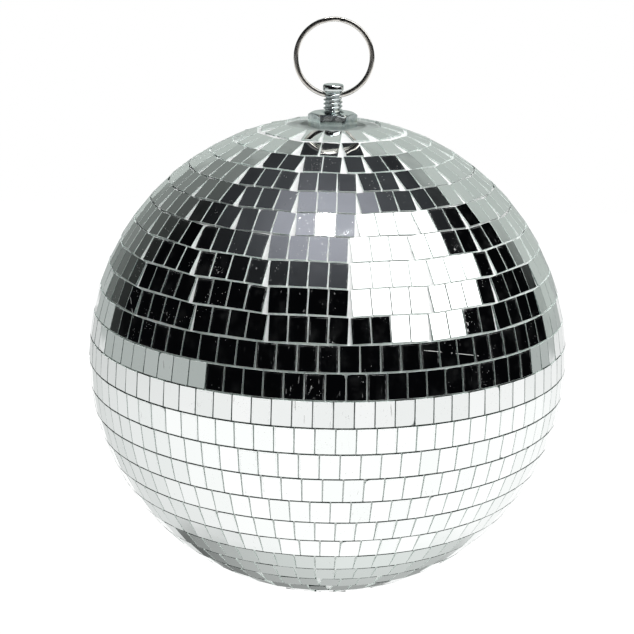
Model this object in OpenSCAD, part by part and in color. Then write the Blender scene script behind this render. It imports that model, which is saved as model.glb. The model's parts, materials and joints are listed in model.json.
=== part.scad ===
// Hanging mirror ball: a hollow plastic core in two halves, rows of small glass mirror tiles
// bedded in white glue, a clamped hanger stud and a split ring. Millimetres, +Z up.
// The origin is the inside top of the split ring, where the hook or cord bears.
// The front is -Y. The split ring lies in the XZ plane, and the ball swings about X.

/* [Mirror tiles] */
// Radius from the ball's centre to the back of each tile
tile_base_r = 99.8; // [99.8:0.1:104]
// Width of a tile along its row
tile_w = 7; // [6.8:0.1:7]
// Height of a tile across its row
tile_h = 9.8; // [9.5:0.1:9.8]
// Thickness of the glass
tile_t = 1.8; // [1.5:0.1:2]
// Usual pitch of the tiles along a row
tile_pitch = 7.7; // [7.7:0.05:8]
// Least pitch at the polar edge of a row
polar_pitch = 7.2; // [7.2:0.05:7.6]
// Gap between the tiles of one strip
strip_gap = 0.5; // [0.4:0.05:0.5]
// Largest rise of a strip of tiles out of its row
strip_rise = 0.55; // [0:0.05:0.55]

/* [Core] */
// Outer radius of the moulded core
core_r = 99.2; // [99:0.1:99.2]
// Wall thickness of the core
core_wall = 2.7; // [2:0.1:3.5]
// Depth of the lap joint at the equator
lap_depth = 4; // [3:0.5:6]
// Radius of the boss under the hanger
boss_r = 14; // [13:0.5:18]

/* [Hanger] */
// Outer radius of the stud's thread
stud_r = 3.95; // [3.9:0.01:4]
// Outer radius of the stud's tip
tip_r = 4.3; // [4.2:0.05:4.5]
// Width of the nuts across their flats
nut_af = 18; // [16:0.5:18]
// Thickness of the outer nut
nut_h = 6; // [5:0.5:6.5]
// Radius of the cross hole that carries the ring
eye_r = 2.1; // [2.05:0.05:2.2]

/* [Split ring] */
// Inner radius of the split ring
ring_in_r = 14.7; // [14.5:0.1:15]
// Radial width of the ring's wire
ring_wire_w = 2; // [1.8:0.1:2]
// Thickness of one of the ring's two coils
ring_coil_t = 1.1; // [1:0.05:1.1]

/* [Hidden] */
$fn = 96;
round_fn = 48;
row_step = 6;
ball_fn = 180;
profile_fn = 360;
ring_fn = 144;
rows = 27;
cut = 1;
glue_gap = 0.02;
thread_gap = 0.02;
lap_gap = 0.05;
lap_end_gap = 0.2;
corner_gap = 0.25;

// Heights above the ball's centre
seat_z = 98.3;
boss_bottom_z = 94;
boss_h = 3.5;
washer_t = 1.6;
washer_r = 12;
inner_nut_h = 6.5;
stud_bottom_z = 84;
eye_z = 111.6;
tip_bottom_z = 112.9;
stud_top_z = 116;
stud_chamfer = 0.6;
stud_hole_r = 4.2;

// The nut stands on a flat that is clear of glue
flat_r = 13.5;
flat_cut_h = 5;

// The ring's wire curves through the cross hole, so its middle there sits nearer the ring's centre
ring_out_r = ring_in_r + ring_wire_w;
eye_offset = (ring_out_r + sqrt(pow(ring_in_r, 2) - pow(tip_r, 2))) / 2;
ball_z = -(eye_z + eye_offset + ring_in_r);
ring_z = -ring_in_r;

// Ring notches where each coil ends, as angles from the top
coil_end_angle = 22;
coil_end_gap = 4;

// Rows between these latitudes are laid evenly, the others as short straight strips
even_high_lat = 18;
even_low_lat = -48;

// Tiles in a strip, up to each latitude
strip_sizes = [[42, 4], [60, 3], [78, 2], [90, 1]];

function strip_tiles(lat) = [for (size = strip_sizes) if (abs(lat) < size[0]) size[1]][0];

// Longitude of one seam in each row, from the top row down; 0 faces the front
row_start = [
    12, 6, 5.8, 11, 9.3, 8, 5.5, 5.3, 5.1, 5, 2.6, -0.3, 1.6,
    2.2, -1.2, -0.4, 1.5, 2.9, -0.8, -2.2, -2.3, -1, 3, -4, 2, 7, 0
];

// The top row leaves the flat bare, and sits a little higher than its step
top_row_lift = 0.8;

function row_lat(i) = 90 - row_step * (i + 2.5) + (i == 0 ? top_row_lift : 0);
function row_length(lat) = 2 * PI * tile_base_r * cos(lat);
function polar_length(lat) = 2 * PI * (tile_base_r * cos(lat) - tile_h / 2 * sin(abs(lat)));
function row_count(lat) = floor(min(row_length(lat) / tile_pitch, polar_length(lat) / polar_pitch));
function strip_count(lat) =
    lat > even_low_lat && lat < even_high_lat ? 1 : ceil(row_count(lat) / strip_tiles(lat));

// How nearly a strip is straight: 1 is a great circle, 0 follows the row
function straightness(lat) =
    strip_count(lat) == 1 ? 0 :
    min(1, strip_rise * 2 * tile_base_r
        / (pow(strip_tiles(lat) * tile_pitch / 2, 2) * abs(tan(lat))));

function seam_gap(lat) =
    strip_count(lat) == 1 ? row_length(lat) / row_count(lat) - tile_w :
    max(strip_gap, corner_gap + tile_h / 2 * (1 - straightness(lat))
        * tile_pitch * abs(tan(lat)) / tile_base_r);

// Extra gap between two strips, measured along the middle of the row
function wedge_gap(lat) =
    (row_length(lat) - row_count(lat) * (tile_w + seam_gap(lat))) / strip_count(lat);

function strip_first(lat, strip) = floor(strip * row_count(lat) / strip_count(lat));

// Names of the rows' nodes, such as mirror_row_07
function row_name(i) = str("mirror_row_", i < 9 ? "0" : "", i + 1);

// A tile lies on the ball at a longitude and latitude, turned by twist about its own face
module place_tile(lon, lat, twist) {
    translate([0, 0, ball_z])
        rotate([0, 0, lon - 90])
            rotate([0, -lat, 0])
                translate([tile_base_r, 0, 0])
                    rotate([twist, 0, 0])
                        translate([tile_t / 2, 0, 0])
                            cube([tile_t, tile_w, tile_h], center = true);
}

module strip_tile(lat, start, strip, index) {
    first = strip_first(lat, strip);
    last = strip_first(lat, strip + 1) - 1;
    pitch = tile_w + seam_gap(lat);
    middle = ((first + last + 1) / 2) * pitch + (strip + 0.5) * wedge_gap(lat);
    along = (first + index + 0.5) * pitch + (strip + 0.5) * wedge_gap(lat);
    offset = along - middle;
    bend = straightness(lat) * tan(lat) / tile_base_r;
    rise = bend * (pow(strip_tiles(lat) * tile_pitch / 2, 2) / 4 - pow(offset, 2) / 2);
    place_tile(
        start + 360 * along / row_length(lat),
        lat + (strip_count(lat) == 1 ? 0 : rise / tile_base_r * 180 / PI),
        -bend * offset * 180 / PI
    );
}

module mirror_row(i) {
    lat = row_lat(i);
    color("silver")
        for (strip = [0 : strip_count(lat) - 1])
            for (index = [0 : strip_first(lat, strip + 1) - strip_first(lat, strip) - 1])
                strip_tile(lat, row_start[i], strip, index);
}

// Two tiles close the bottom of the ball
module bottom_cap_tiles() {
    color("silver")
        for (side = [-1, 1])
            translate([side * (tile_w + strip_gap) / 2, 0, ball_z - tile_base_r - tile_t / 2])
                cube([tile_w, tile_h, tile_t], center = true);
}

// A spherical shell between two radii and two heights, turned about the ball's axis
module ball_shell(outer_r, inner_r, low_z, high_z) {
    translate([0, 0, ball_z])
        rotate_extrude($fn = ball_fn)
            intersection() {
                difference() {
                    circle(r = outer_r, $fn = profile_fn);
                    circle(r = inner_r, $fn = profile_fn);
                }
                translate([0, low_z])
                    square([outer_r + cut, high_z - low_z]);
            }
}

module core_upper_shell() {
    lap_r = core_r - core_wall / 2;
    color("white")
        difference() {
            union() {
                ball_shell(core_r, core_r - core_wall, 0, core_r + cut);
                translate([0, 0, ball_z + boss_bottom_z])
                    cylinder(r = boss_r, h = boss_h);
            }
            // The lower half's spigot fits inside this rebate
            translate([0, 0, ball_z - cut])
                cylinder(r = lap_r, h = lap_depth + cut, $fn = ball_fn);
            translate([0, 0, ball_z + seat_z])
                cylinder(r = flat_r, h = flat_cut_h);
            translate([0, 0, ball_z + boss_bottom_z - cut])
                cylinder(r = stud_hole_r, h = seat_z - boss_bottom_z + 2 * cut);
        }
}

module core_lower_shell() {
    lap_r = core_r - core_wall / 2;
    color("white") {
        ball_shell(core_r, core_r - core_wall, -core_r - cut, 0);
        translate([0, 0, ball_z])
            difference() {
                cylinder(r = lap_r - lap_gap, h = lap_depth - lap_end_gap, $fn = ball_fn);
                translate([0, 0, -cut])
                    cylinder(r = core_r - core_wall, h = lap_depth + 2 * cut, $fn = ball_fn);
            }
    }
}

module glue_bed_upper() {
    color("ghostwhite")
        difference() {
            ball_shell(tile_base_r - glue_gap, core_r, 0, core_r + cut);
            translate([0, 0, ball_z + seat_z - cut])
                cylinder(r = flat_r, h = flat_cut_h);
        }
}

module glue_bed_lower() {
    color("ghostwhite")
        ball_shell(tile_base_r - glue_gap, core_r, -core_r - cut, 0);
}

module hanger_stud() {
    color("lightsteelblue")
        difference() {
            translate([0, 0, ball_z])
                rotate_extrude()
                    polygon([
                        [0, stud_bottom_z],
                        [stud_r - stud_chamfer, stud_bottom_z],
                        [stud_r, stud_bottom_z + stud_chamfer],
                        [stud_r, tip_bottom_z],
                        [tip_r, tip_bottom_z + (tip_r - stud_r)],
                        [tip_r, stud_top_z - stud_chamfer],
                        [tip_r - stud_chamfer, stud_top_z],
                        [0, stud_top_z]
                    ]);
            translate([-2 * tip_r, 0, ball_z + eye_z])
                rotate([0, 90, 0])
                    cylinder(r = eye_r, h = 4 * tip_r, $fn = round_fn);
        }
}

module inner_washer() {
    color("silver")
        translate([0, 0, ball_z + boss_bottom_z - washer_t])
            difference() {
                cylinder(r = washer_r, h = washer_t);
                translate([0, 0, -cut])
                    cylinder(r = stud_hole_r, h = washer_t + 2 * cut);
            }
}

// A hexagonal nut with its flats towards the front and back and chamfered corners
module hex_nut(height) {
    corner_r = nut_af / 2 / cos(30);
    outside_r = corner_r + cut;
    chamfer_h = (outside_r - nut_af / 2) * tan(30);
    difference() {
        intersection() {
            cylinder(r = corner_r, h = height, $fn = 6);
            rotate_extrude()
                polygon([
                    [0, 0],
                    [nut_af / 2, 0],
                    [outside_r, chamfer_h],
                    [outside_r, height - chamfer_h],
                    [nut_af / 2, height],
                    [0, height]
                ]);
        }
        translate([0, 0, -cut])
            cylinder(r = stud_r + thread_gap, h = height + 2 * cut);
    }
}

module inner_nut() {
    color("silver")
        translate([0, 0, ball_z + boss_bottom_z - washer_t - inner_nut_h])
            hex_nut(inner_nut_h);
}

module outer_nut() {
    color("silver")
        translate([0, 0, ball_z + seat_z])
            hex_nut(nut_h);
}

// Two coils of flat wire side by side; a notch in each face shows where a coil ends
module split_ring() {
    notch_r = (ring_in_r + ring_out_r) / 2;
    color("gainsboro")
        translate([0, 0, ring_z])
            rotate([90, 0, 0])
                difference() {
                    rotate_extrude($fn = ring_fn)
                        translate([ring_in_r, -ring_coil_t])
                            square([ring_wire_w, 2 * ring_coil_t]);
                    for (side = [-1, 1])
                        rotate([0, 0, 90 + side * coil_end_angle])
                            translate([notch_r, 0, side * ring_coil_t])
                                cube([ring_wire_w + cut, coil_end_gap, ring_coil_t / 2], center = true);
                }
}

core_upper_shell();
core_lower_shell();
glue_bed_upper();
glue_bed_lower();
hanger_stud();
inner_washer();
inner_nut();
outer_nut();
split_ring();
bottom_cap_tiles();
for (i = [0 : rows - 1])
    mirror_row(i);
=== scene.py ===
"""Looks of the hanging mirror ball: snapped glass mirror tiles in white glue, a threaded stud,
a chamfered nut and a two-turn split ring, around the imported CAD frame. Metres, +Z up, front -Y."""
import json
import math
import random

import bmesh
import bpy
import numpy as np
from mathutils import Matrix, Vector, noise


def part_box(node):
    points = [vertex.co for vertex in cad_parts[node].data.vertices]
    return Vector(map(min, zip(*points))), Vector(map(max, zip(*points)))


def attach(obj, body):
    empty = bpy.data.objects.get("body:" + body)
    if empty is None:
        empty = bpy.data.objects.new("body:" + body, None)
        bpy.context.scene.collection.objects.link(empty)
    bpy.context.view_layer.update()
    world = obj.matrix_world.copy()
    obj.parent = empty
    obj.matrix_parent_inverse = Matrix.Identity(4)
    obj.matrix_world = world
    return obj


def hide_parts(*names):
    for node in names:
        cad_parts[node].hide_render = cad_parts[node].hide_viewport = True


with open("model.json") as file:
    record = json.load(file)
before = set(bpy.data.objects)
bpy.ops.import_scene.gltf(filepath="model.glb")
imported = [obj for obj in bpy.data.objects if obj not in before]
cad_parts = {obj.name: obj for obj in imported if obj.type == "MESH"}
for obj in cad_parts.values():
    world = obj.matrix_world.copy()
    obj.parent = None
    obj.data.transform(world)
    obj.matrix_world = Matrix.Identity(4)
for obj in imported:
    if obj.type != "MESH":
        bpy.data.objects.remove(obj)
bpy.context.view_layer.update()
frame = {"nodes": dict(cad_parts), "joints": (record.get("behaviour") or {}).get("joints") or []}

MM = 0.001

# Places and sizes read from the frame
TILE_NODES = sorted(n for n in frame["nodes"] if n.startswith("mirror_row_")) + ["bottom_cap_tiles"]
CORE_LOW, CORE_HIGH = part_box("core_lower_shell")
CORE_R = (CORE_HIGH.x - CORE_LOW.x) / 2
BALL = Vector((0, 0, CORE_LOW.z + CORE_R))
CAP_LOW, CAP_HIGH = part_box("bottom_cap_tiles")
TILE_T = CAP_HIGH.z - CAP_LOW.z
TILE_H = CAP_HIGH.y - CAP_LOW.y
TILE_BACK_R = BALL.z - CAP_HIGH.z

# Sines of the latitudes between which rows are laid evenly, and not as short strips
EVEN_LOW = math.sin(math.radians(-48))
EVEN_HIGH = math.sin(math.radians(18))


# ---------------------------------------------------------------- shader helpers

class Nodes:
    """A short way to write a node tree."""

    def __init__(self, tree):
        self.tree = tree
        tree.nodes.clear()

    def add(self, kind, inputs=None, **settings):
        node = self.tree.nodes.new(kind)
        for name, value in settings.items():
            setattr(node, name, value)
        for key, value in (inputs or {}).items():
            self.feed(node.inputs[key], value)
        return node

    def feed(self, socket, value):
        if isinstance(value, bpy.types.Node):
            value = value.outputs[0]
        if isinstance(value, bpy.types.NodeSocket):
            self.tree.links.new(value, socket)
        else:
            socket.default_value = value

    def math(self, operation, a, b=0.0, clamp=False):
        node = self.add("ShaderNodeMath", operation=operation, use_clamp=clamp)
        self.feed(node.inputs[0], a)
        self.feed(node.inputs[1], b)
        return node.outputs[0]

    def band(self, value, low, high, soft):
        """1 where value lies between low and high, with soft edges."""
        rise = self.ramp(value, low - soft, low + soft)
        fall = self.ramp(value, high - soft, high + soft)
        return self.math("SUBTRACT", rise, fall, clamp=True)

    def ramp(self, value, low, high, to_low=0.0, to_high=1.0):
        """Smooth step of value from low to high."""
        node = self.add("ShaderNodeMapRange", interpolation_type="SMOOTHSTEP")
        self.feed(node.inputs["Value"], value)
        node.inputs["From Min"].default_value = low
        node.inputs["From Max"].default_value = high
        node.inputs["To Min"].default_value = to_low
        node.inputs["To Max"].default_value = to_high
        return node.outputs[0]

    def mix(self, factor, a, b, blend="MIX"):
        node = self.add("ShaderNodeMix", data_type="RGBA", blend_type=blend)
        self.feed(node.inputs[0], factor)
        self.feed(node.inputs[6], a)
        self.feed(node.inputs[7], b)
        return node.outputs[2]

    def noise(self, vector, scale, detail=2.0, rough=0.5):
        node = self.add("ShaderNodeTexNoise", {"Scale": scale, "Detail": detail, "Roughness": rough})
        if vector is not None:
            self.feed(node.inputs["Vector"], vector)
        return node.outputs["Fac"]


def rgb(r, g, b):
    return (r, g, b, 1.0)


def new_material(name):
    material = bpy.data.materials.new(name)
    material.use_nodes = True
    nodes = Nodes(material.node_tree)
    output = nodes.add("ShaderNodeOutputMaterial")
    shader = nodes.add("ShaderNodeBsdfPrincipled")
    nodes.feed(output.inputs["Surface"], shader)
    return material, nodes, shader


def bump(nodes, shader, height, strength, distance):
    """Raises a shader's surface by a height value."""
    node = nodes.add("ShaderNodeBump", {"Strength": strength, "Distance": distance, "Height": height})
    nodes.feed(shader.inputs["Normal"], node)


def dot_product(nodes, a, b):
    return nodes.add("ShaderNodeVectorMath", {0: a, 1: b}, operation="DOT_PRODUCT").outputs["Value"]


def vector_length(nodes, a):
    return nodes.add("ShaderNodeVectorMath", {0: a}, operation="LENGTH").outputs["Value"]


def circle_points(radius, z, count, centre=Vector()):
    """Points round a level circle, from +X on."""
    turns = [2 * math.pi * k / count for k in range(count)]
    return [centre + Vector((radius * math.cos(t), radius * math.sin(t), z)) for t in turns]


def direction(azimuth, elevation):
    """A unit vector; azimuth 0 is towards the camera and 90 to its right."""
    a, e = math.radians(azimuth), math.radians(elevation)
    return Vector((math.cos(e) * math.sin(a), -math.cos(e) * math.cos(a), math.sin(e)))


def long_scratch(nodes, place, start, end):
    """1 along a broken line over several tiles, between two directions from the ball's centre."""
    first, last = direction(*start), direction(*end)
    from_centre = nodes.add("ShaderNodeVectorMath", {0: place, 1: BALL}, operation="SUBTRACT")
    across = dot_product(nodes, from_centre, first.cross(last).normalized())
    way = (last - first).normalized()
    along = dot_product(nodes, from_centre, way)
    face_r = TILE_BACK_R + TILE_T
    line = nodes.ramp(nodes.math("ABSOLUTE", across), 0.16 * MM, 0.08 * MM)
    reach = nodes.band(along, first.dot(way) * face_r, last.dot(way) * face_r, MM)
    line = nodes.math("MULTIPLY", line, reach)
    return nodes.math("MULTIPLY", line, nodes.ramp(nodes.noise(place, 420.0, 2.0), 0.40, 0.52))


# ---------------------------------------------------------------- materials

def mirror_face_material():
    """Silvered glass: dust specks, fine scratches and smudges, each tile a little different, and a painted
    reflection of each cut edge just inside it.
    """
    material, nodes, shader = new_material("mirror_face")
    face = nodes.add("ShaderNodeUVMap", uv_map="tile").outputs[0]
    seed = nodes.add("ShaderNodeUVMap", uv_map="tile_seed").outputs[0]
    object_place = nodes.add("ShaderNodeTexCoord").outputs["Object"]
    seed_parts = nodes.add("ShaderNodeSeparateXYZ", {"Vector": seed})
    face_parts = nodes.add("ShaderNodeSeparateXYZ", {"Vector": face})

    # Distance from the middle, 0.5 at the edge
    across = nodes.math("ABSOLUTE", nodes.math("SUBTRACT", face_parts.outputs[0], 0.5))
    upright = nodes.math("ABSOLUTE", nodes.math("SUBTRACT", face_parts.outputs[1], 0.5))
    edge = nodes.math("MAXIMUM", across, upright)

    specks = nodes.add("ShaderNodeTexVoronoi", {"Vector": object_place, "Scale": 900.0})
    speck_spread = nodes.noise(object_place, 70.0, 2.0)
    speck = nodes.math("MULTIPLY", nodes.ramp(specks.outputs["Distance"], 0.16, 0.05),
                       nodes.ramp(speck_spread, 0.50, 0.62))
    crumbs = nodes.math("MULTIPLY", nodes.ramp(nodes.noise(object_place, 1500.0, 3.0, 0.7), 0.60, 0.66),
                        nodes.ramp(nodes.noise(object_place, 105.0, 1.0), 0.70, 0.74))

    streaks = nodes.add("ShaderNodeMapping", {"Vector": object_place, "Scale": (1100.0, 1100.0, 120.0),
                                              "Rotation": (0.35, 0.2, 0.6)})
    scratch = nodes.math("MULTIPLY", nodes.ramp(nodes.noise(streaks, 1.0, 1.0), 0.68, 0.74),
                         nodes.ramp(nodes.noise(object_place, 45.0, 1.0), 0.50, 0.62))
    smudge = nodes.ramp(nodes.noise(object_place, 130.0, 4.0, 0.65), 0.50, 0.80)
    dirt = nodes.math("MAXIMUM", nodes.math("MAXIMUM", speck, crumbs), nodes.math("MULTIPLY", scratch, 0.45))
    for start, end in (((22, 16.2), (37, 13.2)), ((-14.5, 51.5), (-7.5, 56)), ((-58, 23), (-52, 17))):
        dirt = nodes.math("MAXIMUM", dirt, long_scratch(nodes, object_place, start, end))

    # Painted reflection: the ghost of each cut edge, as glass shows it just inside the edge, painted as a
    # darker, less metallic band by the side edges and the top edge, on some tiles only
    edge_x = nodes.math("SUBTRACT", 0.5, across)
    edge_y = nodes.math("SUBTRACT", 0.5, upright)
    painted_ghost_x = nodes.band(edge_x, 0.062, 0.082, 0.006)
    painted_ghost_y = nodes.math("MULTIPLY", nodes.band(edge_y, 0.052, 0.066, 0.005),
                         nodes.ramp(face_parts.outputs[1], 0.4, 0.6))
    painted_edge_ghost = nodes.math("MULTIPLY", nodes.math("MAXIMUM", painted_ghost_x, painted_ghost_y),
                       nodes.math("MULTIPLY", nodes.ramp(seed_parts.outputs[1], 0.55, 0.85),
                                  nodes.ramp(nodes.noise(object_place, 500.0, 2.0), 0.35, 0.6)))

    tone = nodes.mix(seed_parts.outputs[0], rgb(0.86, 0.885, 0.875), rgb(0.95, 0.965, 0.96))
    tone = nodes.mix(nodes.ramp(edge, 0.475, 0.5, 0.0, 0.35), tone, rgb(0.74, 0.80, 0.77))
    tone = nodes.mix(nodes.math("MULTIPLY", dirt, 0.8), tone, rgb(0.75, 0.76, 0.74))
    # Painted reflection: the edge ghost darkens the face's colour
    tone = nodes.mix(nodes.math("MULTIPLY", painted_edge_ghost, 0.35), tone, rgb(0.50, 0.56, 0.54))
    nodes.feed(shader.inputs["Base Color"], tone)
    # Painted reflection: the edge ghost also lowers the metal
    metal = nodes.math("SUBTRACT", nodes.ramp(dirt, 0.2, 0.9, 1.0, 0.3), nodes.math("MULTIPLY", painted_edge_ghost, 0.30))
    metal = nodes.math("SUBTRACT", metal, nodes.math("MULTIPLY", smudge, 0.012))
    nodes.feed(shader.inputs["Metallic"], metal)
    # Thin glass is never quite flat
    bump(nodes, shader, nodes.noise(object_place, 105.0, 1.0), 1.0, 0.00004)
    roughness = nodes.math("ADD", nodes.math("MULTIPLY", smudge, 0.06), 0.02)
    roughness = nodes.math("ADD", roughness, nodes.math("MULTIPLY", dirt, 0.4), clamp=True)
    nodes.feed(shader.inputs["Roughness"], roughness)
    return material


def glass_edge_material(name, light, dark, roughness):
    """A cut glass edge: frosted, greenish, with flakes."""
    material, nodes, shader = new_material(name)
    place = nodes.add("ShaderNodeTexCoord").outputs["Object"]
    flakes = nodes.noise(place, 1400.0, 3.0, 0.7)
    patches = nodes.noise(place, 240.0, 2.0)
    tone = nodes.mix(nodes.ramp(flakes, 0.35, 0.68), dark, light)
    tone = nodes.mix(nodes.ramp(patches, 0.3, 0.75, 0.0, 0.35), tone, dark)
    nodes.feed(shader.inputs["Base Color"], tone)
    nodes.feed(shader.inputs["Roughness"], nodes.ramp(flakes, 0.2, 0.8, roughness - 0.12, roughness + 0.15))
    shader.inputs["IOR"].default_value = 1.52
    bump(nodes, shader, flakes, 0.35, 0.0001)
    return material


def glue_material():
    """Matt white glue, a little dusty, with painted shade round the nut where it is thin."""
    material, nodes, shader = new_material("white_glue")
    place = nodes.add("ShaderNodeTexCoord").outputs["Object"]
    lumps = nodes.noise(place, 380.0, 4.0, 0.6)
    dust = nodes.noise(place, 90.0, 3.0)
    tone = nodes.mix(nodes.ramp(lumps, 0.3, 0.7), rgb(0.86, 0.87, 0.86), rgb(0.95, 0.955, 0.95))
    tone = nodes.mix(nodes.ramp(dust, 0.6, 0.85, 0.0, 0.35), tone, rgb(0.62, 0.64, 0.61))
    # Painted shade: round the nut, where the glue is only a thin smear between the nut and the tiles, it is
    # painted dark grey
    parts = nodes.add("ShaderNodeSeparateXYZ", {"Vector": place})
    flat_place = nodes.add("ShaderNodeCombineXYZ", {0: parts.outputs[0], 1: parts.outputs[1]})
    from_axis = vector_length(nodes, flat_place)
    painted_nut_shade = nodes.ramp(from_axis, 20.5 * MM, 18.5 * MM, 0.0, 0.85)
    tone = nodes.mix(painted_nut_shade, tone, rgb(0.27, 0.31, 0.29))
    nodes.feed(shader.inputs["Base Color"], tone)
    nodes.feed(shader.inputs["Roughness"], nodes.ramp(lumps, 0.2, 0.8, 0.45, 0.7))
    bump(nodes, shader, lumps, 0.5, 0.0002)
    return material


def plastic_material():
    """Moulded off-white plastic with a fine grain."""
    material, nodes, shader = new_material("core_plastic")
    place = nodes.add("ShaderNodeTexCoord").outputs["Object"]
    grain = nodes.noise(place, 1200.0, 3.0, 0.6)
    cloud = nodes.noise(place, 30.0, 2.0)
    nodes.feed(shader.inputs["Base Color"],
               nodes.mix(cloud, rgb(0.78, 0.78, 0.75), rgb(0.86, 0.86, 0.84)))
    nodes.feed(shader.inputs["Roughness"], nodes.ramp(grain, 0.2, 0.8, 0.42, 0.6))
    bump(nodes, shader, grain, 0.25, 0.0001)
    return material


def zinc_material():
    """Bright zinc plate: bluish, with a faint straw tint, dull patches and tool marks."""
    material, nodes, shader = new_material("zinc_steel")
    place = nodes.add("ShaderNodeTexCoord").outputs["Object"]
    cloud = nodes.noise(place, 320.0, 4.0, 0.6)
    fine = nodes.noise(place, 2600.0, 2.0)
    tone = nodes.mix(nodes.ramp(cloud, 0.3, 0.7), rgb(0.52, 0.58, 0.59), rgb(0.80, 0.84, 0.83))
    tint = nodes.ramp(nodes.noise(place, 150.0, 1.0), 0.6, 0.75, 0.0, 0.45)
    tone = nodes.mix(tint, tone, rgb(0.58, 0.56, 0.40))
    nodes.feed(shader.inputs["Base Color"], tone)
    shader.inputs["Metallic"].default_value = 1.0
    roughness = nodes.ramp(cloud, 0.25, 0.8, 0.05, 0.15)
    nodes.feed(shader.inputs["Roughness"], nodes.math("ADD", roughness, nodes.math("MULTIPLY", fine, 0.06)))
    bump(nodes, shader, fine, 0.12, 0.00005)
    return material


def nickel_material():
    """Bright nickel wire: almost a mirror, warmer in places, with fine drawing lines."""
    material, nodes, shader = new_material("nickel_ring")
    place = nodes.add("ShaderNodeTexCoord").outputs["Object"]
    cloud = nodes.noise(place, 180.0, 3.0, 0.6)
    fine = nodes.noise(place, 3200.0, 2.0)
    tone = nodes.mix(nodes.ramp(cloud, 0.35, 0.7), rgb(0.70, 0.67, 0.62), rgb(0.86, 0.84, 0.80))
    nodes.feed(shader.inputs["Base Color"], tone)
    shader.inputs["Metallic"].default_value = 1.0
    nodes.feed(shader.inputs["Roughness"], nodes.ramp(fine, 0.2, 0.9, 0.13, 0.22))
    bump(nodes, shader, fine, 0.06, 0.00004)
    return material


# ---------------------------------------------------------------- mirror tiles

def tile_frames(node):
    """Centre of the back, row direction, up direction and normal, width and height of each tile."""
    mesh = bmesh.new()
    mesh.from_mesh(frame["nodes"][node].data)
    bmesh.ops.remove_doubles(mesh, verts=mesh.verts, dist=1e-6)
    frames = []
    seen = set()
    for first in mesh.verts:
        if first in seen:
            continue
        seen.add(first)
        queue = [first]
        corners = []
        while queue:
            vert = queue.pop()
            corners.append(vert.co.copy())
            for link in vert.link_edges:
                other = link.other_vert(vert)
                if other not in seen:
                    seen.add(other)
                    queue.append(other)
        frames.append(box_frame(corners, node))
    mesh.free()
    return frames


def box_frame(corners, node):
    """The frame of one tile from its eight corners."""
    middle = sum(corners, Vector()) / len(corners)
    normal = Vector((0, 0, -1)) if node == "bottom_cap_tiles" else (middle - BALL).normalized()
    rise = None
    for corner in corners[1:]:
        edge = corner - corners[0]
        if abs(edge.length - TILE_H) < 0.05 * MM and abs(edge.dot(normal)) < 0.05 * MM:
            rise = edge.normalized()
    if rise.z < -1e-6 or (node == "bottom_cap_tiles" and rise.y < 0):
        rise = -rise
    side = rise.cross(normal)
    width = max(abs((c - middle).dot(side)) for c in corners) * 2
    return middle - normal * (TILE_T / 2), side, rise, normal, width


def outline(width, height, draw):
    """A tile's snapped outline: points round a rectangle, a little uneven, now and then chipped."""
    points_across, points_up = 4, 5
    uneven = 0.03 * MM
    chipped = 0.02
    points = []
    corners = [(-1, -1), (1, -1), (1, 1), (-1, 1)]
    for k, (cx, cy) in enumerate(corners):
        nx, ny = corners[(k + 1) % 4]
        count = points_across if k % 2 == 0 else points_up
        for step in range(count):
            t = step / count
            x = (cx + (nx - cx) * t) * width / 2
            y = (cy + (ny - cy) * t) * height / 2
            inset = uneven * draw.random()
            if step == 0:
                inset += 0.03 * MM
                if draw.random() < chipped:
                    inset += draw.uniform(0.15, 0.5) * MM
            points.append((x - math.copysign(inset, x) * (step == 0 or k % 2 == 1),
                           y - math.copysign(inset, y) * (step == 0 or k % 2 == 0)))
    return points


def add_tile(data, place, draw):
    """Adds one tile: a flat mirror face, a seamed arris round it, cut sides and a back."""
    back, side, rise, normal, width = place
    # The whole tile is larger than its CAD box, which narrows the seams. Some neighbours' back corners
    # then overlap, by up to 0.14 mm.
    laid_evenly = EVEN_LOW < normal.z < EVEN_HIGH
    width += (0.46 if laid_evenly else 0.18) * MM
    height = TILE_H + 0.28 * MM
    # Each tile is bedded a little out of true
    lean = math.radians(0.3 + 1.3 * abs(normal.z) ** 6)
    tilt = Matrix.Rotation(draw.gauss(0, lean), 3, side) @ Matrix.Rotation(draw.gauss(0, lean), 3, rise)
    side, rise, normal = tilt @ side, tilt @ rise, tilt @ normal
    sink = draw.uniform(0.0, 0.10) * MM
    arris = 0.05 * MM
    rim = outline(width, height, draw)
    base = len(data["verts"])
    count = len(rim)
    depths = (TILE_T - sink, TILE_T - sink - arris * 0.8, 0.0)
    for ring, depth in enumerate(depths):
        for x, y in rim:
            if ring == 0:
                shrink = arris * (0.75 + 0.5 * draw.random())
                x -= math.copysign(shrink, x) * (abs(x) > width / 2 - 0.5 * MM)
                y -= math.copysign(shrink, y) * (abs(y) > height / 2 - 0.5 * MM)
            data["verts"].append(back + side * x + rise * y + normal * depth)
            data["face_uv"].append((x / width + 0.5, y / height + 0.5))
    seed = (draw.random(), draw.random())
    data["seeds"].extend([seed] * (3 * count))
    front = list(range(base, base + count))
    data["faces"].append(front)
    data["slots"].append(0)
    for ring in range(2):
        for k in range(count):
            a = base + ring * count + k
            b = base + ring * count + (k + 1) % count
            data["faces"].append([a, a + count, b + count, b])
            middle_y = (rim[k][1] + rim[(k + 1) % count][1]) / 2
            # Painted light and shade: each side takes the lit, shaded or dim copy of one cut-glass edge by
            # which way the tile and the side face (slot 1 lit, 2 shaded, 3 dim)
            if ring == 0 or middle_y < -height / 2 + 0.3 * MM:
                data["slots"].append(1)
            elif middle_y > height / 2 - 0.3 * MM:
                lit_from_above = normal.z > 0.8 or 0.05 < normal.z < 0.55
                data["slots"].append(1 if lit_from_above else 2)
            else:
                data["slots"].append(3 if 0 < normal.z < 0.5 else 1)
    data["faces"].append(list(range(base + 3 * count - 1, base + 2 * count - 1, -1)))
    data["slots"].append(1)


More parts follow.
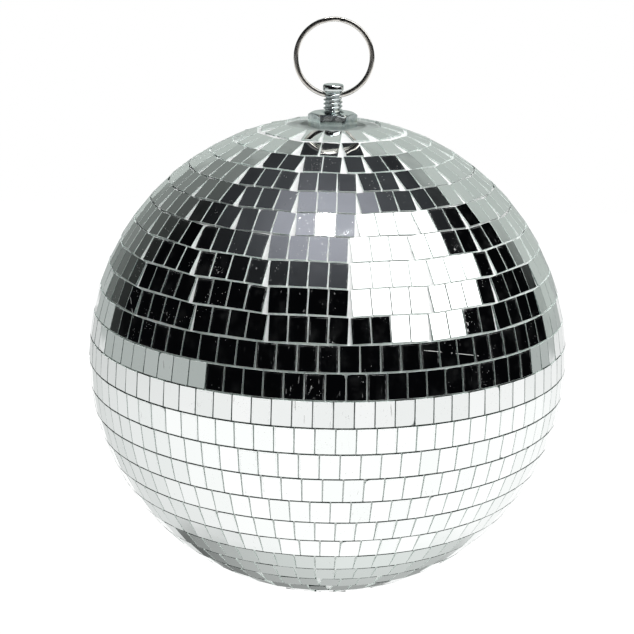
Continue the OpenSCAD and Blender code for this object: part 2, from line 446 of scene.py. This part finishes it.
def tile_row(node, materials, draw):
    """One row's tiles as one mesh, which stands for the row's CAD node."""
    data = {"verts": [], "faces": [], "slots": [], "face_uv": [], "seeds": []}
    for place in tile_frames(node):
        add_tile(data, place, draw)
    mesh = bpy.data.meshes.new(node + "_glass")
    mesh.from_pydata(data["verts"], [], data["faces"])
    for material in materials:
        mesh.materials.append(material)
    mesh.polygons.foreach_set("material_index", data["slots"])
    corners = np.empty(len(mesh.loops), np.int32)
    mesh.loops.foreach_get("vertex_index", corners)
    for name, values in (("tile", data["face_uv"]), ("tile_seed", data["seeds"])):
        layer = mesh.uv_layers.new(name=name)
        layer.data.foreach_set("uv", np.array(values, np.float32)[corners].ravel())
    mesh.validate()
    piece = bpy.data.objects.new(node + "_glass", mesh)
    bpy.context.scene.collection.objects.link(piece)
    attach(piece, "ball")
    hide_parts(node)
    return piece


# ---------------------------------------------------------------- meshes by formula

def grid_piece(name, rows, material, closed_rows=False, smooth=True, body="ball"):
    """A piece from rings of points, each ring closed; ends are capped unless the rows close too."""
    count = len(rows[0])
    verts = [p for row in rows for p in row]
    faces = []
    last = len(rows) if closed_rows else len(rows) - 1
    for i in range(last):
        for k in range(count):
            a = i * count + k
            b = i * count + (k + 1) % count
            c = ((i + 1) % len(rows)) * count + (k + 1) % count
            d = ((i + 1) % len(rows)) * count + k
            faces.append((a, b, c, d))
    if not closed_rows:
        faces.append(tuple(range(count - 1, -1, -1)))
        faces.append(tuple(range((len(rows) - 1) * count, len(rows) * count)))
    mesh = bpy.data.meshes.new(name)
    mesh.from_pydata(verts, [], faces)
    mesh.materials.append(material)
    fixed = bmesh.new()
    fixed.from_mesh(mesh)
    bmesh.ops.recalc_face_normals(fixed, faces=fixed.faces)
    fixed.to_mesh(mesh)
    fixed.free()
    for polygon in mesh.polygons:
        polygon.use_smooth = smooth
    piece = bpy.data.objects.new(name, mesh)
    bpy.context.scene.collection.objects.link(piece)
    return piece


def apply_modifiers(piece):
    """Bakes a piece's modifiers into its mesh."""
    graph = bpy.context.evaluated_depsgraph_get()
    mesh = bpy.data.meshes.new_from_object(piece.evaluated_get(graph))
    piece.modifiers.clear()
    piece.data = mesh


def glue_bed(material, draw):
    """White glue over the core, pressed up unevenly between the tiles."""
    rings, around = 240, 480
    # Clear flat under the nut, then a thin smear, then the full bed
    seat_r = 13.6 * MM
    smear_r = 17 * MM
    smear_fade = 4 * MM
    smear_depth = 0.15
    bed_depth = 1.05
    top = math.asin(seat_r / TILE_BACK_R)
    offset = Vector((draw.random(), draw.random(), draw.random())) * 10
    rows = []
    for i in range(rings + 1):
        polar = top + (math.pi - 0.004 - top) * i / rings
        row = []
        for k in range(around):
            angle = 2 * math.pi * k / around
            out = math.sin(polar)
            ray = Vector((out * math.cos(angle), out * math.sin(angle), math.cos(polar)))
            lump = noise.noise(ray * 38 + offset) * 0.6 + noise.noise(ray * 95 + offset) * 0.4
            from_axis = TILE_BACK_R * math.sin(polar)
            fill = min(1.0, max(0.0, (from_axis - smear_r) / smear_fade)) if ray.z > 0 else 1.0
            # The tight seams of the evenly laid rows are filled less
            even = min(1.0, max(0.0, (0.40 - ray.z) / 0.14), max(0.0, (ray.z + 0.15) / 0.14))
            depth = (smear_depth + bed_depth * fill) - 0.55 * max(0.0, even) + 0.25 * lump * fill
            row.append(BALL + ray * (TILE_BACK_R + depth * MM))
        rows.append(row)
    inner = circle_points(seat_r, math.sqrt((CORE_R + 0.1 * MM) ** 2 - seat_r ** 2), around, BALL)
    piece = grid_piece("glue_bed", [inner] + rows, material)
    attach(piece, "ball")
    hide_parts("glue_bed_upper", "glue_bed_lower")
    return piece


def hex_nut(node, material):
    """A hexagonal nut with chamfered corners, countersunk mouths and a plain bore."""
    low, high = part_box(node)
    flat = (high.y - low.y) / 2
    bore = 4.02 * MM
    sink = 0.9 * MM
    chamfer_r = flat * 0.965
    slope = math.tan(math.radians(30))
    around = 192
    rows = []
    for k in range(around):
        angle = 2 * math.pi * k / around
        # Distance to the hexagon's side, flats towards the front and back
        local = (angle + math.pi / 6 - math.pi / 2) % (math.pi / 3) - math.pi / 6
        reach = flat / math.cos(local)
        round_off = 0.12 * MM * max(0.0, (abs(local) - math.radians(27)) / math.radians(3))
        reach -= round_off
        drop = (reach - chamfer_r) * slope
        soft = 0.10 * MM
        profile = [
            (bore, low.z + sink), (bore + sink, low.z), (chamfer_r - soft, low.z),
            (chamfer_r + soft, low.z), (reach - soft, low.z), (reach, low.z + soft),
            (reach, high.z - drop - soft), (reach - soft, high.z - drop + soft * slope),
            (chamfer_r + soft, high.z - soft * slope), (chamfer_r - soft, high.z),
            (bore + sink, high.z), (bore, high.z - sink)]
        rows.append([Vector((r * math.cos(angle), r * math.sin(angle), z)) for r, z in profile])
    piece = grid_piece(node + "_detailed", rows, material, closed_rows=True, smooth=False)
    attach(piece, "ball")
    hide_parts(node)
    return piece


def hanger_stud(material):
    """The stud: a rolled thread, a plain swaged tip and a cross hole with a broken edge."""
    low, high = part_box("hanger_stud")
    tip_r = (high.x - low.x) / 2
    crest = 3.95 * MM
    root = 3.25 * MM
    pitch = 1.7 * MM
    eye_z = frame["joints"][0]["pos_m"][2]
    eye_r = 2.1 * MM
    tip_low = high.z - 3.1 * MM
    around = 96
    step = pitch / 14
    count = int((tip_low - low.z) / step)
    rows = []
    for i in range(count + 1):
        z = low.z + i * step
        row = []
        for k in range(around):
            angle = 2 * math.pi * k / around
            turn = ((z - low.z) / pitch - k / around) % 1.0
            # A rounded trapezium: crest, flank, root, flank
            wave = abs(turn * 2 - 1)
            depth = min(1.0, max(0.0, (wave - 0.22) / 0.5))
            depth = depth * depth * (3 - 2 * depth)
            fade = min(1.0, (z - low.z) / (1.2 * MM)) if z < low.z + 1.2 * MM else 1.0
            fade *= min(1.0, max(0.0, (tip_low - z) / (1.4 * MM)))
            r = crest - (crest - root) * depth * fade
            r = min(r, crest - 0.7 * MM + (z - low.z))
            row.append(Vector((r * math.cos(angle), r * math.sin(angle), z)))
        rows.append(row)
    # The swaged tip: out from the thread, up, and round its top edge
    tip = ((crest + 0.05 * MM, tip_low + 0.15 * MM), (tip_r - 0.08 * MM, tip_low + 0.55 * MM),
           (tip_r, tip_low + 0.9 * MM), (tip_r, high.z - 0.75 * MM),
           (tip_r - 0.12 * MM, high.z - 0.4 * MM), (tip_r - 0.35 * MM, high.z - 0.12 * MM),
           (tip_r - 0.75 * MM, high.z), (1.2 * MM, high.z - 0.03 * MM))
    rows += [circle_points(r, z, around) for r, z in tip]
    piece = grid_piece("hanger_stud_threaded", rows, material)
    # The cross hole's cutter flares outside the stud, which breaks the hole's edge
    flare = eye_r + 1.7 * MM
    cutter_around = 48
    cutter_rows = []
    for x, r in ((-6, flare), (-4.15, eye_r), (4.15, eye_r), (6, flare)):
        turns = [2 * math.pi * k / cutter_around for k in range(cutter_around)]
        cutter_rows.append([Vector((x * MM, r * math.cos(t), eye_z + r * math.sin(t))) for t in turns])
    cutter = grid_piece("eye_cutter", cutter_rows, material)
    drill = piece.modifiers.new("eye", "BOOLEAN")
    drill.operation = "DIFFERENCE"
    drill.solver = "EXACT"
    drill.object = cutter
    apply_modifiers(piece)
    bpy.data.objects.remove(cutter)
    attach(piece, "ball")
    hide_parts("hanger_stud")
    return piece


def split_ring(material):
    """Two turns of flattened spring wire, crossing over near the top."""
    low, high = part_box("split_ring")
    outer = (high.x - low.x) / 2
    coil_t = (high.y - low.y) / 2
    centre = Vector((0, 0, (low.z + high.z) / 2))
    inner = outer - 2.0 * MM
    half_w = (outer - inner) / 2
    half_t = coil_t / 2 - 0.02 * MM
    mean = (outer + inner) / 2
    round_steps = 5
    corner = 0.38 * MM
    section = []
    for cx, cy, start in ((1, 1, 0), (-1, 1, 90), (-1, -1, 180), (1, -1, 270)):
        for s in range(round_steps):
            a = math.radians(start + 90 * s / (round_steps - 1))
            section.append((cx * (half_w - corner) + corner * math.cos(a),
                            cy * (half_t - corner) + corner * math.sin(a)))
    steps = 520
    start_angle, sweep = 8.0, 695.0
    cross_at, cross_width = 347.5, 32.0
    rows = []
    for i in range(steps + 1):
        along = sweep * i / steps
        angle = math.radians(90 - (start_angle + along))
        t = min(1.0, max(0.0, (along - cross_at + cross_width / 2) / cross_width))
        shift = (t * t * (3 - 2 * t) * 2 - 1) * coil_t / 2
        taper = min(1.0, 0.55 + min(i, steps - i) * 0.09)
        out = Vector((math.cos(angle), 0, math.sin(angle)))
        rows.append([centre + out * (mean + u * (0.6 + 0.4 * taper)) + Vector((0, shift + v * taper, 0))
                     for u, v in section])
    piece = grid_piece("split_ring_coils", rows, material)
    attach(piece, "ring")
    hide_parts("split_ring")
    return piece


# ---------------------------------------------------------------- studio

def studio_world():
    """A white studio to the camera; the mirrors see a dark room, a white table and a pale backdrop."""
    world = bpy.data.worlds.new("studio")
    bpy.context.scene.world = world
    world.use_nodes = True
    nodes = Nodes(world.node_tree)
    ray = nodes.add("ShaderNodeTexCoord").outputs["Generated"]
    parts = nodes.add("ShaderNodeSeparateXYZ", {"Vector": ray})
    x, y, z = parts.outputs
    elevation = nodes.math("MULTIPLY", nodes.math("ARCSINE", z), 180 / math.pi)
    azimuth = nodes.math("MULTIPLY", nodes.math("ARCTAN2", x, nodes.math("MULTIPLY", y, -1.0)), 180 / math.pi)

    colour = nodes.mix(nodes.ramp(elevation, 40.0, 62.0), rgb(0.0015, 0.0016, 0.002), rgb(0.052, 0.055, 0.06))
    # Pale backdrop behind, fading round the left side
    behind = nodes.math("MAXIMUM", nodes.ramp(azimuth, 126.0, 134.0),
                        nodes.math("MAXIMUM", nodes.ramp(azimuth, -152.0, -158.0),
                                   nodes.ramp(azimuth, -112.0, -160.0, 0.0, 0.5)))
    colour = nodes.mix(nodes.math("MULTIPLY", behind, nodes.ramp(elevation, 50.0, 43.0)), colour,
                       rgb(0.50, 0.545, 0.52))
    # A grey strip at the left horizon and a shorter one at the right
    strip_top = nodes.math("ADD", nodes.math("MULTIPLY", nodes.math("ADD", azimuth, 57.0), 0.035), -0.5)
    above_strip = nodes.math("SUBTRACT", elevation, strip_top)
    left_side = nodes.band(azimuth, -170.0, -57.0, 1.0)
    left_strip = nodes.math("MULTIPLY", left_side, nodes.ramp(above_strip, 0.3, -0.3))
    right_strip = nodes.math("MULTIPLY", nodes.ramp(azimuth, 109.0, 111.0), nodes.ramp(elevation, -5.5, -6.5))
    strip = nodes.math("MAXIMUM", left_strip, right_strip)
    colour = nodes.mix(strip, colour, rgb(0.45, 0.48, 0.47))
    colour = nodes.mix(nodes.ramp(elevation, -10.0, -11.0), colour, rgb(1.0, 1.0, 1.0))
    # The overhead flash and its glow
    from_lamp = nodes.math("ARCCOSINE", dot_product(nodes, ray, direction(-9, 78)))
    away = nodes.math("MULTIPLY", from_lamp, 180 / math.pi)
    colour = nodes.mix(nodes.ramp(away, 31.0, 8.0), colour, rgb(0.45, 0.46, 0.52))
    colour = nodes.mix(nodes.ramp(away, 6.0, 4.8), colour, rgb(58.0, 58.0, 58.0))

    is_camera = nodes.add("ShaderNodeLightPath").outputs["Is Camera Ray"]
    seen = nodes.mix(is_camera, colour, rgb(1, 1, 1))
    background = nodes.add("ShaderNodeBackground", {"Color": seen, "Strength": 1.0})
    output = nodes.add("ShaderNodeOutputWorld")
    nodes.feed(output.inputs["Surface"], background)


def emission_material(name, colour, strength):
    material = bpy.data.materials.new(name)
    material.use_nodes = True
    nodes = Nodes(material.node_tree)
    output = nodes.add("ShaderNodeOutputMaterial")
    shader = nodes.add("ShaderNodeEmission", {"Color": colour, "Strength": strength})
    nodes.feed(output.inputs["Surface"], shader)
    return material, nodes, shader


def softbox():
    """A large softbox, right of the camera and above it, seen only by reflection."""
    distance = 1.3
    outline_directions = ((13, 33), (29, 31), (32, 22), (45, 18.5), (71, 18), (80, 22), (89, 25.5), (97, 31),
                          (92, 38), (91.5, 45), (101, 54), (95, 61), (84, 67), (66, 74), (40, 76), (20, 68),
                          (14, 56), (12.5, 44))
    points = [BALL + direction(52, 47) * distance]
    points += [BALL + direction(*d) * distance for d in outline_directions]
    rim = len(outline_directions)
    mesh = bpy.data.meshes.new("softbox")
    mesh.from_pydata(points, [], [(0, 1 + k, 1 + (k + 1) % rim) for k in range(rim)])
    mesh.materials.append(emission_material("softbox_light", rgb(1, 1, 1), 2.3)[0])
    panel = bpy.data.objects.new("softbox", mesh)
    bpy.context.scene.collection.objects.link(panel)
    panel.visible_camera = False


def floor():
    """A plain pale floor below the hanging ball, glowing in place of being lit: painted light, dimmer behind
    and to the left, with a painted soft shade of the ball.
    """
    drop = 0.5
    radius = 3.3
    mesh = bpy.data.meshes.new("floor")
    around = 64
    mesh.from_pydata(circle_points(radius, 0, around), [], [tuple(range(around))])
    material, nodes, shader = emission_material("floor_painted_light", rgb(1, 1, 1), 1.0)
    place = nodes.add("ShaderNodeTexCoord").outputs["Object"]
    x, y = nodes.add("ShaderNodeSeparateXYZ", {"Vector": place}).outputs[:2]
    azimuth = nodes.math("MULTIPLY", nodes.math("ARCTAN2", x, nodes.math("MULTIPLY", y, -1.0)), 180 / math.pi)
    # Painted light: the floor's glow, dimmer behind and to the left
    level = nodes.mix(nodes.ramp(azimuth, -35.0, -150.0), rgb(1.12, 1.12, 1.12), rgb(0.74, 0.755, 0.75))
    level = nodes.mix(nodes.ramp(azimuth, 95.0, 150.0, 0.0, 0.4), level, rgb(0.82, 0.835, 0.83))
    # Painted light: the glow fades far off
    far = nodes.ramp(vector_length(nodes, place), 1.4, 2.8)
    level = nodes.mix(nodes.math("MULTIPLY", far, 0.14), level, rgb(0, 0, 0))
    # Painted shadow: the ball's soft shade, deepest behind and to the left
    spread = nodes.add("ShaderNodeMapping", {"Vector": place, "Location": (0.0, -0.875, 0.0),
                                             "Scale": (2.7, 2.5, 1)})
    reach = vector_length(nodes, spread)
    depth = nodes.math("SUBTRACT", nodes.math("MULTIPLY", x, 0.65), nodes.math("MULTIPLY", y, 0.85))
    depth = nodes.math("ADD", depth, 0.80)
    tint = nodes.add("ShaderNodeCombineColor", {0: nodes.math("MULTIPLY", depth, 0.96), 1: depth,
                                                2: nodes.math("MULTIPLY", depth, 0.98)})
    level = nodes.mix(nodes.ramp(reach, 1.12, 0.92), level, tint)
    # Painted light: farther back, where the camera sees the floor itself, it glows brighter
    beside = nodes.math("SUBTRACT", nodes.math("ABSOLUTE", x), nodes.math("MULTIPLY", y, 0.27))
    behind = nodes.math("MULTIPLY", nodes.ramp(beside, 0.32, 0.26), nodes.ramp(y, 0.75, 0.85))
    nodes.feed(shader.inputs["Color"], nodes.mix(behind, level, rgb(1.06, 1.06, 1.06)))
    mesh.materials.append(material)
    plane = bpy.data.objects.new("floor", mesh)
    bpy.context.scene.collection.objects.link(plane)
    plane.location = BALL + Vector((0, 0, -TILE_BACK_R - drop))


def camera():
    """The photograph's view: from the front, a little above, with the ball low and right of centre."""
    elevation = math.radians(16.3)
    distance = 0.762
    roll = math.radians(1.2)
    data = bpy.data.cameras.new("camera")
    data.sensor_width = 36.0
    data.lens = 100.3
    eye = bpy.data.objects.new("camera", data)
    bpy.context.scene.collection.objects.link(eye)
    back = Vector((0, -math.cos(elevation), math.sin(elevation)))
    eye.location = BALL + back * distance
    up = Vector((0, 0, 1))
    right = (-back).cross(up).normalized()
    camera_up = right.cross(-back).normalized()
    aim_left = 4.8 * MM
    aim_up = 15.4 * MM
    aim = BALL - right * aim_left + camera_up * aim_up
    look = (aim - eye.location).normalized()
    turn = look.to_track_quat("-Z", "Y").to_matrix().to_4x4()
    eye.matrix_world = Matrix.Translation(eye.location) @ turn @ Matrix.Rotation(roll, 4, "Z")
    bpy.context.scene.camera = eye


# ---------------------------------------------------------------- build

def build():
    camera()
    studio_world()
    softbox()
    floor()
    draw = random.Random(7)
    face = mirror_face_material()
    # Three copies of one cut-glass edge that differ only by painted light and shade: a lit one, a shaded one
    # and a dim one
    edge_painted_lit = glass_edge_material("tile_edge_painted_lit", rgb(0.95, 0.98, 0.965), rgb(0.70, 0.79, 0.75), 0.45)
    edge_painted_shade = glass_edge_material("tile_edge_painted_shade", rgb(0.10, 0.13, 0.12), rgb(0.02, 0.03, 0.028), 0.3)
    edge_painted_dim = glass_edge_material("tile_edge_painted_dim", rgb(0.42, 0.50, 0.47), rgb(0.09, 0.13, 0.12), 0.35)
    for node in TILE_NODES:
        tile_row(node, (face, edge_painted_lit, edge_painted_shade, edge_painted_dim), draw)
    glue_bed(glue_material(), draw)
    zinc = zinc_material()
    hanger_stud(zinc)
    hex_nut("outer_nut", zinc)
    hex_nut("inner_nut", zinc)
    split_ring(nickel_material())
    plastic = plastic_material()
    kept_nodes = {"core_upper_shell": plastic, "core_lower_shell": plastic, "inner_washer": zinc}
    for node, material in kept_nodes.items():
        mesh = frame["nodes"][node].data
        mesh.materials.clear()
        mesh.materials.append(material)
    bpy.context.scene.view_settings.view_transform = "Standard"


build()
